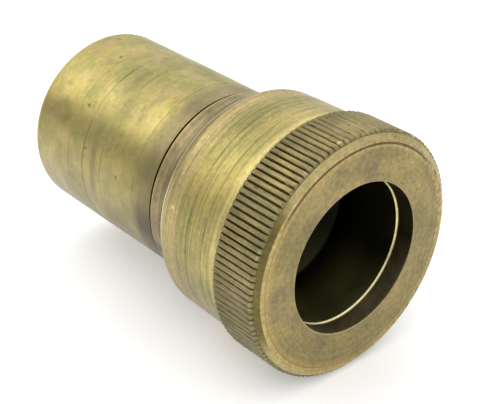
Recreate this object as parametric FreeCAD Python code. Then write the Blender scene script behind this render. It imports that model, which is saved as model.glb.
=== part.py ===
"""Brass twist-action fire hose nozzle, in the shut position.

The nozzle's axis is X. The origin is the centre of the inlet mouth, +X points to the outlet and +Z is up.
The barrel screws onto the hose. The head turns on a three-start thread on the neck tube and travels forward,
carrying a keyed flow tube, which lifts the valve seat off a fixed valve head. All sizes are in millimetres.
"""
import FreeCAD, Part
import math
import os

# Overall sizes
OVERALL_LENGTH = 72.0          # inlet mouth to outlet face
BARREL_LENGTH = 37.85          # inlet mouth to the seam with the head
INLET_THREAD_R = 15.15         # female G 1 hose thread, wall at the minor diameter
OUTLET_BORE_R = 13.95          # flow tube's bore, and the size the whole head is built around

# Barrel
BARREL_WALL = 3.05             # outside the inlet thread
THREAD_LENGTH = 13.6
THREAD_RELIEF = 1.55           # how far the washer groove is cut below the thread's wall
WASHER_THICK = 2.3
WASHER_LAP = 0.1               # hose washer over the strainer disc's edge
WASHER_FIT = 0.1
STRAINER_THICK = 0.6
STRAINER_SEAT = 0.4            # perforated disc beyond the waterway
STRAINER_LAP = 0.6             # how far the ring holds the disc's edge
STRAINER_HOLE_R = 0.9
STRAINER_PITCH = 2.6
STRAINER_EDGE = 1.0            # last ring of holes stays this far inside the waterway
WASHER_GROOVE = 3.9
WEB_THICK = 3.5                # wall between the washer's groove and the neck's socket
WATERWAY_STEP = 1.0            # neck's bore down to the web's opening
MOUTH_CHAMFER = 0.6

# Neck
NECK_REACH = 12.15             # how far the neck stands out of the barrel
NECK_WALL = 2.0
SPIGOT_STEP = 1.5              # flow tube's bore down to its spigot's outside
RUN_CLEAR = 0.05               # radial clearance of running fits
FREE_CLEAR = 0.3               # clearance of faces that must never touch
GASKET_THICK = 1.0
GASKET_EDGE = 0.1
SEAM = 0.55                    # gap between the barrel and the shut head
BUMPER_THICK = 0.75            # fibre ring in the barrel's front face
BUMPER_PROUD = 0.15

# Valve
SEAT_WALL = 3.85               # flow tube's wall round the seat
SPIGOT_LENGTH = 9.8            # flow tube's shoulder to its seat rim
SHOULDER_GAP = 0.6             # neck's end to the flow tube's shoulder
SEAT_RIM = 0.5                 # width of the flat rim round the seat
SEAT_GAP = 0.1                 # the soft washer is drawn just short of the rim
SEAL_LAP = 1.0                 # valve washer beyond the seat
SEAL_THICK = 1.7
VALVE_HEAD_THICK = 2.4
VALVE_HEAD_TAIL = 1.6
CAP_LENGTH = 5.0
CAP_CLEAR = 3.0                # water's gap between the seat and the cap nut
CAP_FLANGE = 1.4
CAP_TIP = 1.0                  # blind end of the cap nut
STEM_R = 2.5
STEM_TIP_R = 2.0
STEM_SHOULDER_R = 3.6

# Spider
SPIDER_RIM = 4.0
SPIDER_RIM_WALL = 2.3
SPIDER_HUB_R = 4.4
SPIDER_HUB_LENGTH = 5.5
SPIDER_START = 0.5             # hub and vanes start this far into the rim
VANES = 3
VANE_THICK = 1.6
NUT_ACROSS_FLATS = 8.0
NUT_THICK = 2.6
LOCK_WASHER_THICK = 0.5
LOCK_WASHER_R = 4.0
STEM_END = 0.4                 # stem beyond its nut

# Flow tube
TUBE_WALL = 2.05
TUBE_FLARE = 3.4
TUBE_LAND = 4.0                # bearing land that centres the tube in the head
LIP_WALL = 1.05
LIP_CHAMFER = 0.4
THRUST_THICK = 0.5
TUBE_RING_SECTION = 1.5
TUBE_RING_GROOVE = 2.2
TUBE_RING_PLACE = 1.2          # seat rim to the groove
KEY_WIDTH = 3.0
KEY_HEIGHT = 0.85
KEY_LENGTH = 10.0
KEY_BEDDING = 1.4

# Head
LEAD = 6.0                     # three starts of 2 mm pitch
HEAD_TURN = 270.0              # degrees from shut to full jet
CHAMBER_CLEAR = 0.3
STOP_RING_THICK = 1.2
STOP_RING_LAND = 1.0           # neck in front of its stop ring
STOP_RING_BITE = 0.8
STOP_RING_GAP = 6.0
STOP_CLEAR = 0.1
COLLAR_WALL = 2.2
COLLAR_LENGTH = 5.7
SHOULDER_LENGTH = 1.9
SHOULDER_RISE = 1.8            # collar up to the rear edge of the shoulder's slope
HEAD_REAR_WALL = 5.4
HEAD_TAPER = 0.3
HEAD_SPIGOT_WALL = 3.5

# Knurled ring
KNURL_STEP = 1.0               # knurl crests above the head's front
KNURL_TEETH = 120
KNURL_DEPTH = 0.5
KNURL_WIDTH = 9.8
BEVEL_LENGTH = 0.8
BEVEL_DROP = 0.55
CREST_LENGTH = 0.3
FACE_DROP = 1.7                # knurl crests down to the flat outlet face
FACE_BORE_CLEAR = 0.1          # face bore beyond the flow tube's bore
FACE_BORE_DEPTH = 3.57
RING_CAVITY = 2.43             # room for the tube's flange and thrust washers

# Radii that follow
BARREL_R = INLET_THREAD_R + BARREL_WALL
GROOVE_R = INLET_THREAD_R + THREAD_RELIEF
TUBE_OUTER_R = OUTLET_BORE_R + TUBE_WALL
CHAMBER_R = TUBE_OUTER_R + CHAMBER_CLEAR
SPIGOT_R = OUTLET_BORE_R - SPIGOT_STEP
NECK_BORE_R = SPIGOT_R + RUN_CLEAR
NECK_R = NECK_BORE_R + NECK_WALL
STOP_RING_R = CHAMBER_R - FREE_CLEAR
COLLAR_R = CHAMBER_R + COLLAR_WALL
HEAD_REAR_R = CHAMBER_R + HEAD_REAR_WALL
HEAD_FRONT_R = HEAD_REAR_R + HEAD_TAPER
HEAD_SPIGOT_R = CHAMBER_R + HEAD_SPIGOT_WALL
KNURL_R = HEAD_FRONT_R + KNURL_STEP
FACE_R = KNURL_R - FACE_DROP
FACE_BORE_R = OUTLET_BORE_R + FACE_BORE_CLEAR
SPIDER_RIM_R = NECK_R - FREE_CLEAR
WATERWAY_R = NECK_BORE_R - WATERWAY_STEP
STRAINER_R = WATERWAY_R + STRAINER_SEAT
SEAT_R = SPIGOT_R - SEAT_WALL
CAP_R = SEAT_R - CAP_CLEAR
SEAL_R = SEAT_R + SEAL_LAP
VALVE_HEAD_R = SEAL_R - 0.2

# Places along the axis that follow
WASHER_END = THREAD_LENGTH + WASHER_GROOVE
WEB_END = WASHER_END + WEB_THICK
SPIDER_X = WEB_END + GASKET_THICK
NECK_START = SPIDER_X + SPIDER_RIM
HUB_START = SPIDER_X + SPIDER_START
HUB_END = HUB_START + SPIDER_HUB_LENGTH
NECK_END = BARREL_LENGTH + NECK_REACH
HEAD_START = BARREL_LENGTH + SEAM
TUBE_SHOULDER = NECK_END + SHOULDER_GAP
SEAT_X = TUBE_SHOULDER - SPIGOT_LENGTH
SEAL_FRONT = SEAT_X - SEAT_GAP
SEAL_BACK = SEAL_FRONT - SEAL_THICK
VALVE_HEAD_BACK = SEAL_BACK - VALVE_HEAD_THICK - VALVE_HEAD_TAIL
TRAVEL = LEAD * HEAD_TURN / 360.0
STOP_RING_X = NECK_END - STOP_RING_LAND - STOP_RING_THICK
HEAD_STEP = STOP_RING_X - TRAVEL - STOP_CLEAR
COLLAR_END = HEAD_START + COLLAR_LENGTH
SHOULDER_END = COLLAR_END + SHOULDER_LENGTH
FACE_BORE_X = OVERALL_LENGTH - FACE_BORE_DEPTH
HEAD_END = FACE_BORE_X - RING_CAVITY
KNURL_FRONT = OVERALL_LENGTH - BEVEL_LENGTH
KNURL_BACK = KNURL_FRONT - KNURL_WIDTH
LIP_FRONT = FACE_BORE_X - RUN_CLEAR
FLANGE_FRONT = LIP_FRONT - THRUST_THICK
FLANGE_BACK = HEAD_END + RUN_CLEAR + THRUST_THICK
FLANGE_R = HEAD_SPIGOT_R - FREE_CLEAR

X_AXIS = FreeCAD.Vector(1, 0, 0)
CENTRE = FreeCAD.Vector(0, 0, 0)


def at(x, y=0.0, z=0.0):
    return FreeCAD.Vector(x, y, z)


def turned(outline):
    """Solid of revolution about X from a closed outline of (x, radius) corners."""
    corners = [at(x, radius) for x, radius in outline]
    wire = Part.makePolygon(corners + corners[:1])
    return Part.Face(wire).revolve(CENTRE, X_AXIS, 360)


def ring(start, end, inner, outer):
    """Plain ring, or a disc when the inner radius is zero."""
    solid = Part.makeCylinder(outer, end - start, at(start), X_AXIS)
    if inner > 0:
        solid = solid.cut(Part.makeCylinder(inner, end - start, at(start), X_AXIS))
    return solid


def block(start, end, width, low, high):
    """Block along X, centred on Y, between two heights."""
    return Part.makeBox(end - start, width, high - low, at(start, -width / 2, low))


def o_ring(middle, inner, outer):
    """Ring of round section that just clears its groove's floor and the bore it seals."""
    section = (outer - inner) / 2 - RUN_CLEAR / 2
    return Part.makeTorus((inner + outer) / 2, section, at(middle), X_AXIS)


def inlet_barrel():
    """Hose socket, washer groove, web, and the socket that the neck screws into."""
    body = turned([
        (0, INLET_THREAD_R),
        (THREAD_LENGTH, INLET_THREAD_R),
        (THREAD_LENGTH, GROOVE_R),
        (WASHER_END, GROOVE_R),
        (WASHER_END, WATERWAY_R),
        (WEB_END, WATERWAY_R),
        (WEB_END, NECK_R),
        (BARREL_LENGTH, NECK_R),
        (BARREL_LENGTH, BARREL_R),
        (MOUTH_CHAMFER, BARREL_R),
        (0, BARREL_R - MOUTH_CHAMFER),
    ])
    return body.cut(ring(BARREL_LENGTH - BUMPER_THICK + BUMPER_PROUD, BARREL_LENGTH, *bumper_radii()))


def bumper_radii():
    """Inner and outer radius of the bumper ring, set in the barrel's front wall."""
    wall = BARREL_R - NECK_R
    return NECK_R + 0.2 * wall, NECK_R + 0.8 * wall


def bumper_ring():
    start = BARREL_LENGTH - BUMPER_THICK + BUMPER_PROUD
    return ring(start, start + BUMPER_THICK, *bumper_radii())


def hose_washer():
    end = WASHER_END - STRAINER_THICK
    return ring(end - WASHER_THICK, end, STRAINER_R - WASHER_LAP, GROOVE_R - WASHER_FIT)


def strainer_ring():
    """Flat ring under the hose washer with a rebate that holds the perforated disc."""
    start = WASHER_END - STRAINER_THICK
    body = ring(start, WASHER_END, STRAINER_R - STRAINER_LAP, GROOVE_R - WASHER_FIT)
    return body.cut(ring(start, start + STRAINER_THICK / 2, 0, STRAINER_R))


def strainer_disc():
    """Punched disc with rings of holes on a constant pitch."""
    start = WASHER_END - STRAINER_THICK
    disc = ring(start, start + STRAINER_THICK / 2, 0, STRAINER_R)
    rows = int((WATERWAY_R - STRAINER_EDGE) / STRAINER_PITCH)
    holes = []
    for row in range(rows + 1):
        count = max(1, 6 * row)
        for step in range(count):
            angle = 2 * math.pi * step / count
            place = at(start, row * STRAINER_PITCH * math.cos(angle), row * STRAINER_PITCH * math.sin(angle))
            holes.append(Part.makeCylinder(STRAINER_HOLE_R, STRAINER_THICK, place, X_AXIS))
    return disc.cut(Part.makeCompound(holes))


def neck_gasket():
    return ring(WEB_END, SPIDER_X, WATERWAY_R + GASKET_EDGE, NECK_R - GASKET_EDGE)


def neck_tube():
    """Tube that stands out of the barrel, with the stop ring's groove and the key's slot."""
    groove_r = NECK_R - STOP_RING_BITE
    body = turned([
        (NECK_START, NECK_BORE_R),
        (NECK_END, NECK_BORE_R),
        (NECK_END, NECK_R),
        (NECK_END - STOP_RING_LAND, NECK_R),
        (NECK_END - STOP_RING_LAND, groove_r),
        (STOP_RING_X, groove_r),
        (STOP_RING_X, NECK_R),
        (NECK_START, NECK_R),
    ])
    key_low, key_high = key_heights()
    slot_start = TUBE_SHOULDER + KEY_BEDDING - KEY_LENGTH - FREE_CLEAR
    slot = block(slot_start, NECK_END, KEY_WIDTH + 2 * RUN_CLEAR, -NECK_R - 1, -key_low + RUN_CLEAR)
    return body.cut(slot)


def key_heights():
    """Lowest and highest radius of the guide key, inside the neck's outside wall."""
    high = NECK_R - 2 * RUN_CLEAR
    return high - KEY_HEIGHT, high


def guide_key():
    """Bar let into the flow tube's shoulder that slides in the neck's slot and stops the tube turning."""
    low, high = key_heights()
    end = TUBE_SHOULDER + KEY_BEDDING
    return block(end - KEY_LENGTH, end, KEY_WIDTH, -high, -low)


def stop_ring():
    """Open spring ring on the neck that the head meets at full jet; its gap straddles the key."""
    body = ring(STOP_RING_X, STOP_RING_X + STOP_RING_THICK, NECK_R - STOP_RING_BITE, STOP_RING_R)
    return body.cut(block(STOP_RING_X - 1, NECK_END, STOP_RING_GAP, -STOP_RING_R - 1, 0))


def spider():
    """Rim clamped behind the neck, with vanes that carry the hub of the valve's stem."""
    rim_bore = SPIDER_RIM_R - SPIDER_RIM_WALL
    body = ring(SPIDER_X, NECK_START, rim_bore, SPIDER_RIM_R)
    body = body.fuse(ring(HUB_START, HUB_END, 0, SPIDER_HUB_R))
    for index in range(VANES):
        vane = block(HUB_START, NECK_START, VANE_THICK, 0, rim_bore + 0.5)
        vane.rotate(CENTRE, X_AXIS, 360.0 * index / VANES)
        body = body.fuse(vane)
    return body.cut(ring(HUB_START, HUB_END, 0, STEM_R)).removeSplitter()


def valve_stem():
    """Stem with a shoulder between the spider's hub and the valve head."""
    start = HUB_START - LOCK_WASHER_THICK - NUT_THICK - STEM_END
    end = SEAL_FRONT + CAP_LENGTH - CAP_TIP
    return turned([
        (start, 0),
        (start, STEM_R),
        (HUB_END, STEM_R),
        (HUB_END, STEM_SHOULDER_R),
        (VALVE_HEAD_BACK, STEM_SHOULDER_R),
        (VALVE_HEAD_BACK, STEM_TIP_R),
        (end, STEM_TIP_R),
        (end, 0),
    ])


def lock_washer():
    return ring(HUB_START - LOCK_WASHER_THICK, HUB_START, STEM_R, LOCK_WASHER_R)


def stem_nut():
    """Hexagon nut behind the spider's hub."""
    end = HUB_START - LOCK_WASHER_THICK
    corner = NUT_ACROSS_FLATS / math.sqrt(3)
    angles = [math.radians(60 * k) for k in range(7)]
    outline = [at(end - NUT_THICK, corner * math.cos(a), corner * math.sin(a)) for a in angles]
    body = Part.Face(Part.makePolygon(outline)).extrude(at(NUT_THICK))
    return body.cut(ring(end - NUT_THICK, end, 0, STEM_R))


def valve_head():
    """Backing disc of the soft seal, tapered towards the incoming water."""
    return turned([
        (VALVE_HEAD_BACK, STEM_TIP_R),
        (SEAL_BACK, STEM_TIP_R),
        (SEAL_BACK, VALVE_HEAD_R),
        (SEAL_BACK - VALVE_HEAD_THICK, VALVE_HEAD_R),
        (VALVE_HEAD_BACK, STEM_SHOULDER_R),
    ])


def valve_seal():
    return ring(SEAL_BACK, SEAL_FRONT, STEM_TIP_R, SEAL_R)


def cap_nut():
    """Domed nut that clamps the seal and fairs the flow into the seat."""
    base = SEAL_FRONT + CAP_FLANGE
    tip = SEAL_FRONT + CAP_LENGTH
    rise = tip - base
    dome_r = (CAP_R ** 2 + rise ** 2) / (2 * rise)
    dome = Part.makeSphere(dome_r, at(tip - dome_r)).common(ring(base, tip, 0, CAP_R))
    body = ring(SEAL_FRONT, base, 0, CAP_R).fuse(dome)
    return body.cut(ring(SEAL_FRONT, tip - CAP_TIP, 0, STEM_TIP_R))


def flow_tube():
    """Keyed tube: valve seat at the rear, bore that widens to the outlet, and the lip behind the face."""
    groove = SEAT_X + TUBE_RING_PLACE
    groove_r = SPIGOT_R - TUBE_RING_SECTION
    land_end = HEAD_END - FREE_CLEAR
    body = turned([
        (SEAT_X, SEAT_R),
        (TUBE_SHOULDER, SEAT_R),
        (TUBE_SHOULDER + TUBE_FLARE, OUTLET_BORE_R),
        (LIP_FRONT - LIP_CHAMFER, OUTLET_BORE_R),
        (LIP_FRONT, OUTLET_BORE_R + LIP_CHAMFER),
        (LIP_FRONT, OUTLET_BORE_R + LIP_WALL),
        (FLANGE_FRONT, OUTLET_BORE_R + LIP_WALL),
        (FLANGE_FRONT, FLANGE_R),
        (FLANGE_BACK, FLANGE_R),
        (FLANGE_BACK, TUBE_OUTER_R),
        (land_end, TUBE_OUTER_R),
        (land_end, CHAMBER_R - RUN_CLEAR),
        (land_end - TUBE_LAND, CHAMBER_R - RUN_CLEAR),
        (land_end - TUBE_LAND, TUBE_OUTER_R),
        (TUBE_SHOULDER, TUBE_OUTER_R),
        (TUBE_SHOULDER, SPIGOT_R),
        (groove + TUBE_RING_GROOVE, SPIGOT_R),
        (groove + TUBE_RING_GROOVE, groove_r),
        (groove, groove_r),
        (groove, SPIGOT_R),
        (SEAT_X + 1, SPIGOT_R),
        (SEAT_X, SEAT_R + SEAT_RIM),
    ])
    low, high = key_heights()
    return body.cut(block(TUBE_SHOULDER, TUBE_SHOULDER + KEY_BEDDING, KEY_WIDTH, -high, -low))


def tube_o_ring():
    middle = SEAT_X + TUBE_RING_PLACE + TUBE_RING_GROOVE / 2
    return o_ring(middle, SPIGOT_R - TUBE_RING_SECTION, SPIGOT_R)


def rear_thrust_washer():
    return ring(HEAD_END + RUN_CLEAR, FLANGE_BACK, TUBE_OUTER_R, FLANGE_R)


def front_thrust_washer():
    return ring(FLANGE_FRONT, LIP_FRONT, OUTLET_BORE_R + LIP_WALL, FLANGE_R)


def head_sleeve():
    """Turning sleeve: threaded collar, sloped shoulder, long body, and the spigot for the knurled ring."""
    return turned([
        (HEAD_START, NECK_R + RUN_CLEAR),
        (HEAD_STEP, NECK_R + RUN_CLEAR),
        (HEAD_STEP, CHAMBER_R),
        (HEAD_END, CHAMBER_R),
        (HEAD_END, HEAD_SPIGOT_R),
        (KNURL_BACK, HEAD_SPIGOT_R),
        (KNURL_BACK, HEAD_FRONT_R),
        (SHOULDER_END, HEAD_REAR_R),
        (COLLAR_END, COLLAR_R + SHOULDER_RISE),
        (COLLAR_END, COLLAR_R),
        (HEAD_START, COLLAR_R),
    ])


def knurl_prism():
    """Star-shaped bar whose straight ridges are the knurl."""
    corners = []
    for index in range(2 * KNURL_TEETH):
        radius = KNURL_R if index % 2 == 0 else KNURL_R - KNURL_DEPTH
        angle = math.pi * index / KNURL_TEETH
        corners.append(at(KNURL_BACK, radius * math.cos(angle), radius * math.sin(angle)))
    star = Part.Face(Part.makePolygon(corners + corners[:1]))
    return star.extrude(at(OVERALL_LENGTH - KNURL_BACK))


def knurled_ring():
    """Ring screwed onto the head's spigot, with its outlet face, bevel and straight knurl."""
    blank = turned([
        (KNURL_BACK, HEAD_SPIGOT_R),
        (FACE_BORE_X, HEAD_SPIGOT_R),
        (FACE_BORE_X, FACE_BORE_R),
        (OVERALL_LENGTH, FACE_BORE_R),
        (OVERALL_LENGTH, FACE_R),
        (OVERALL_LENGTH - BEVEL_LENGTH + CREST_LENGTH, KNURL_R - BEVEL_DROP),
        (KNURL_FRONT, KNURL_R),
        (KNURL_BACK, KNURL_R),
    ])
    return blank.common(knurl_prism())


SUB_PARTS = {
    "inlet_barrel": inlet_barrel,
    "hose_washer": hose_washer,
    "strainer_ring": strainer_ring,
    "strainer_disc": strainer_disc,
    "neck_gasket": neck_gasket,
    "neck_tube": neck_tube,
    "bumper_ring": bumper_ring,
    "stop_ring": stop_ring,
    "spider": spider,
    "valve_stem": valve_stem,
    "lock_washer": lock_washer,
    "stem_nut": stem_nut,
    "valve_head": valve_head,
    "valve_seal": valve_seal,
    "cap_nut": cap_nut,
    "flow_tube": flow_tube,
    "tube_o_ring": tube_o_ring,
    "guide_key": guide_key,
    "rear_thrust_washer": rear_thrust_washer,
    "front_thrust_washer": front_thrust_washer,
    "head_sleeve": head_sleeve,
    "knurled_ring": knurled_ring,
}


os.makedirs("parts", exist_ok=True)
for name, make in SUB_PARTS.items():
    shape = make()
    shape.exportStep(f"parts/{name}.step")
    print(name, len(shape.Solids), "solid", round(shape.Volume, 2), "mm3", "valid", shape.isValid())
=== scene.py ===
"""Looks of a brass twist-action fire hose nozzle, laid out as an add-on and run as a script.

The nozzle's axis is X, from the inlet mouth at the origin to the outlet. Lengths in the outlines are in
millimetres and become metres when a mesh is made.
"""
import math

import bmesh
import bpy
from bpy.props import FloatProperty, FloatVectorProperty, IntProperty, PointerProperty, StringProperty
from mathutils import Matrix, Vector, noise


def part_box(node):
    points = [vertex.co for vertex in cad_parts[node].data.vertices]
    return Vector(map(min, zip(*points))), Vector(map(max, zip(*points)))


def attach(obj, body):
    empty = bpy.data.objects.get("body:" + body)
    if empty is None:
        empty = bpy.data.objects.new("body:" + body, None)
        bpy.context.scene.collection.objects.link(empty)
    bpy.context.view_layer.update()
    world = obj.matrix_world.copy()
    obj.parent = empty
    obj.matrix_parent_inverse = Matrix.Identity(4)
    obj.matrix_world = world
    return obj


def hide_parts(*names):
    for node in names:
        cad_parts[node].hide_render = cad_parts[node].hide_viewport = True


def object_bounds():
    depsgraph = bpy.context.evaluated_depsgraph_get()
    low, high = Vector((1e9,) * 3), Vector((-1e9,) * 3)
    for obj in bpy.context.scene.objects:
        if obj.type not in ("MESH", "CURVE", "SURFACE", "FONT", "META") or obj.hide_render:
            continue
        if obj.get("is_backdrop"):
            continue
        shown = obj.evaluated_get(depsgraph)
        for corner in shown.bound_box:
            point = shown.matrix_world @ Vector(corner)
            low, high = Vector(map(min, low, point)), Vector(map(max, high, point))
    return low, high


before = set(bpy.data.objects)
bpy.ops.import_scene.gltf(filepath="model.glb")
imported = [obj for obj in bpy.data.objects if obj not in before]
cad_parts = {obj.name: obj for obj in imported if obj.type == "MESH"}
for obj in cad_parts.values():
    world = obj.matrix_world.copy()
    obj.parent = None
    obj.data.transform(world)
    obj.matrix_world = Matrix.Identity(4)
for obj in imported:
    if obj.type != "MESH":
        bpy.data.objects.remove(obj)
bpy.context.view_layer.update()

bl_info = {
    "name": "Fire Hose Nozzle",
    "version": (1, 0, 0),
    "blender": (4, 5, 0),
    "location": "View3D > Sidebar > Nozzle",
    "description": "Builds the pieces of a turned brass fire hose nozzle round its CAD frame",
    "category": "Object",
}

MM = 0.001
TURN = 2 * math.pi
ARC_STEPS = 6           # facets of a rounded corner
STRAINER_RINGS = 4      # rings of holes round the middle one


# Sizes and colours that a user would change

def size(name, default_mm, description):
    """A length property whose default is given in millimetres."""
    return FloatProperty(name=name, description=description, default=default_mm * MM, unit="LENGTH", min=0)


def colour(name, code, description):
    """A colour property kept as an sRGB hex value."""
    return StringProperty(name=name, description=description, default=code)


class NozzleSizes(bpy.types.PropertyGroup):
    collar_radius: size("Collar radius", 18.5, "Outside of the narrow collar beside the seam")
    collar_length: size("Collar length", 5.7, "Seam to the head's shoulder")
    thread_end: size("Head thread end", 43.2, "Where the head's threaded bore opens into its chamber")
    clip_gap: size("Clip gap", 6.0, "Opening between the ends of the stop ring")
    shoulder_radius: size("Shoulder radius", 20.42, "Edge where the head's shoulder starts")
    shoulder_round: size("Shoulder rounding", 2.2, "Rounding of the shoulder into the head's body")
    ridge_root: size("Knurl root radius", 22.42, "Radius of the valleys between the knurl's ridges")
    ridge_count: IntProperty(name="Knurl ridges", description="Ridges round the ring", default=120, min=12)
    ridge_runout: size("Knurl run-out", 0.32, "Length over which a ridge drops to the bevel")
    ridge_nick: size("Knurl nicks", 0.16, "Depth of the random knocks in the ridges")
    bevel_length: size("Bevel length", 0.8, "Plain band between the knurl and the outlet face")
    outlet_bore: size("Outlet bore radius", 13.95, "Bore of the flow tube")
    face_bore: size("Face bore radius", 14.05, "Bore of the knurled ring's face")
    waterway: size("Waterway radius", 11.5, "Opening through the barrel's web")
    inlet_root: size("Inlet thread root radius", 16.62, "Bottom of the hose thread")
    inlet_crest: size("Inlet thread crest radius", 15.15, "Top of the hose thread")
    inlet_pitch: size("Inlet thread pitch", 2.309, "Eleven threads to the inch")
    neck_root: size("Neck thread root radius", 13.7, "Bottom of the neck's thread")
    neck_lead: size("Neck thread lead", 6.0, "Travel of the head in one turn")
    neck_starts: IntProperty(name="Neck thread starts", description="Threads side by side", default=3, min=1)
    strainer_pitch: size("Strainer pitch", 2.6, "Hole to hole")
    strainer_hole: size("Strainer hole radius", 0.9, "Punched holes of the strainer")


class NozzleColours(bpy.types.PropertyGroup):
    gold: colour("Gold", "#CBB66E", "Brass rubbed bright by handling")
    olive: colour("Olive", "#A39C60", "Brass under a thin even tarnish")
    # Tan is also painted as a highlight strip on the head's collar.
    tan: colour("Tan", "#C6AE7E", "Warm tarnish in small clouds")
    green: colour("Green", "#97955A", "Greenish tarnish in small clouds")
    # Beige is painted light: the underside's tint from the white floor below.
    beige: colour("Beige", "#A69D7E", "Paler, dustier tarnish underneath")
    plum: colour("Plum", "#7A6F58", "Thick grey-purple tarnish")
    # This colour is real dirt in valleys, pits and scratches, and is also painted along the seam's edges as
    # the seam's shadow.
    grime_and_seam_shade: colour("Grime", "#2A2415", "Dirt in valleys, pits and scratches")
    # Bore is painted shade: the inside of the flow tube coloured almost black.
    bore: colour("Bore", "#3B3A28", "Water-stained inside of the flow tube")


# Meshes

def rounded(corners, step):
    """Points along a closed outline of (x, radius, rounding) corners in mm, with an arc at each corner."""
    points = []
    count = len(corners)
    for index, (x, r, fillet) in enumerate(corners):
        here = Vector((x, r))
        before = Vector(corners[index - 1][:2]) - here
        after = Vector(corners[(index + 1) % count][:2]) - here
        angle = before.angle(after, math.pi) if before.length and after.length else math.pi
        if fillet <= 0 or angle > math.pi - 0.02:
            points.append(here)
            continue
        reach = min(fillet / math.tan(angle / 2), 0.49 * before.length, 0.49 * after.length)
        start = here + before.normalized() * reach
        end = here + after.normalized() * reach
        for k in range(ARC_STEPS + 1):
            t = k / ARC_STEPS
            points.append((1 - t) ** 2 * start + 2 * t * (1 - t) * here + t ** 2 * end)
    full = []
    for index, point in enumerate(points):
        following = points[(index + 1) % len(points)]
        gap = (following - point).length
        full.append(point)
        parts = max(1, math.ceil(gap / step))
        full.extend(point.lerp(following, k / parts) for k in range(1, parts))
    return full


def finished(name, mesh, material, smooth_degrees=32):
    """Object at the origin with outward normals, smooth except at real corners."""
    work = bmesh.new()
    work.from_mesh(mesh)
    bmesh.ops.recalc_face_normals(work, faces=work.faces)
    work.to_mesh(mesh)
    work.free()
    mesh.polygons.foreach_set("use_smooth", [True] * len(mesh.polygons))
    mesh.set_sharp_from_angle(angle=math.radians(smooth_degrees))
    mesh.materials.clear()
    mesh.materials.append(material)
    piece = bpy.data.objects.new(name, mesh)
    bpy.context.scene.collection.objects.link(piece)
    return piece


def turned(name, corners, material, segments=192, step=3.0, wear=None, arc=(0.0, 1.0)):
    """Ring turned about X from a closed outline in mm. wear moves a point: (x, r, angle) to (x, r)."""
    outline = rounded(corners, step)
    full = arc == (0.0, 1.0)
    columns = segments if full else segments + 1
    verts = []
    for column in range(columns):
        angle = TURN * (arc[0] + (arc[1] - arc[0]) * column / segments)
        for x, r in outline:
            if wear:
                x, r = wear(x, r, angle)
            verts.append((x * MM, r * MM * math.cos(angle), r * MM * math.sin(angle)))
    rows = len(outline)
    faces = []
    for column in range(segments):
        here, there = column * rows, ((column + 1) % columns) * rows
        for row in range(rows):
            after = (row + 1) % rows
            faces.append((here + row, there + row, there + after, here + after))
    if not full:
        faces.append(tuple(range(rows)))
        faces.append(tuple(range(rows * columns - 1, rows * (columns - 1) - 1, -1)))
    mesh = bpy.data.meshes.new(name)
    mesh.from_pydata(verts, [], faces)
    work = bmesh.new()
    work.from_mesh(mesh)
    bmesh.ops.remove_doubles(work, verts=work.verts, dist=1e-7)
    work.to_mesh(mesh)
    work.free()
    return finished(name, mesh, material)


def span(node):
    """A CAD node's first and last x and its outer radius, in mm."""
    low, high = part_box(node)
    return low.x / MM, high.x / MM, max(high.y, high.z) / MM


def place(piece, body, slot, *nodes):
    """Hand a finished piece to the frame."""
    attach(piece, body)
    if nodes:
        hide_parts(*nodes)
    return piece


def dress(node, material):
    """Give a CAD node that keeps its own mesh a better material."""
    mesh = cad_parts[node].data
    mesh.materials.clear()
    mesh.materials.append(material)


# Geometry Nodes

def node(tree, kind, links=None, **settings):
    """Add a node, set its properties, and fill its inputs with values or links."""
    made = tree.nodes.new(kind)
    for key, value in settings.items():
        setattr(made, key, value)
    for key, value in (links or {}).items():
        socket = made.inputs[key]
        if isinstance(value, bpy.types.NodeSocket):
            tree.links.new(value, socket)
        else:
            socket.default_value = value
    return made


def node_group(name, counts, lengths):
    """Geometry Nodes tree with counts, lengths and a material to give; returns it and its inputs."""
    tree = bpy.data.node_groups.new(name, "GeometryNodeTree")
    for kind, labels in (("Int", counts), ("Float", lengths), ("Material", ("Material",))):
        for label in labels:
            tree.interface.new_socket(label, in_out="INPUT", socket_type="NodeSocket" + kind)
    tree.interface.new_socket("Geometry", in_out="OUTPUT", socket_type="NodeSocketGeometry")
    return tree, node(tree, "NodeGroupInput").outputs


def grown(name, tree, values, material):
    """Plain mesh object from a Geometry Nodes tree whose inputs take the given values."""
    holder = bpy.data.objects.new(name + "_grower", bpy.data.meshes.new(name + "_grower"))
    bpy.context.scene.collection.objects.link(holder)
    modifier = holder.modifiers.new("grow", "NODES")
    modifier.node_group = tree
    for item in tree.interface.items_tree:
        if item.in_out == "INPUT":
            modifier[item.identifier] = material if item.name == "Material" else values[item.name]
    graph = bpy.context.evaluated_depsgraph_get()
    graph.update()
    mesh = bpy.data.meshes.new_from_object(holder.evaluated_get(graph))
    mesh.name = name
    holder.modifiers.clear()
    bpy.data.objects.remove(holder)
    return finished(name, mesh, material, smooth_degrees=50)


def copied_round(tree, geometry, count, position):
    """Copies of one shape, turned evenly round X at a position on the axis."""
    spots = node(tree, "GeometryNodePoints", {"Count": count, "Position": position})
    index = node(tree, "GeometryNodeInputIndex")
    share = node(tree, "ShaderNodeMath", {0: index.outputs[0], 1: count}, operation="DIVIDE")
    angle = node(tree, "ShaderNodeMath", {0: share.outputs[0], 1: TURN}, operation="MULTIPLY")
    turn = node(tree, "ShaderNodeCombineXYZ", {0: angle.outputs[0]})
    copies = node(tree, "GeometryNodeInstanceOnPoints", {
        "Points": spots.outputs[0], "Instance": geometry, "Rotation": turn.outputs[0]})
    return copies.outputs[0]


def output(tree, geometry, material):
    """End a tree in Realize Instances and Set Material."""
    real = node(tree, "GeometryNodeRealizeInstances", {"Geometry": geometry})
    dressed = node(tree, "GeometryNodeSetMaterial", {"Geometry": real.outputs[0], "Material": material})
    node(tree, "NodeGroupOutput", {"Geometry": dressed.outputs[0]})


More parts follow.
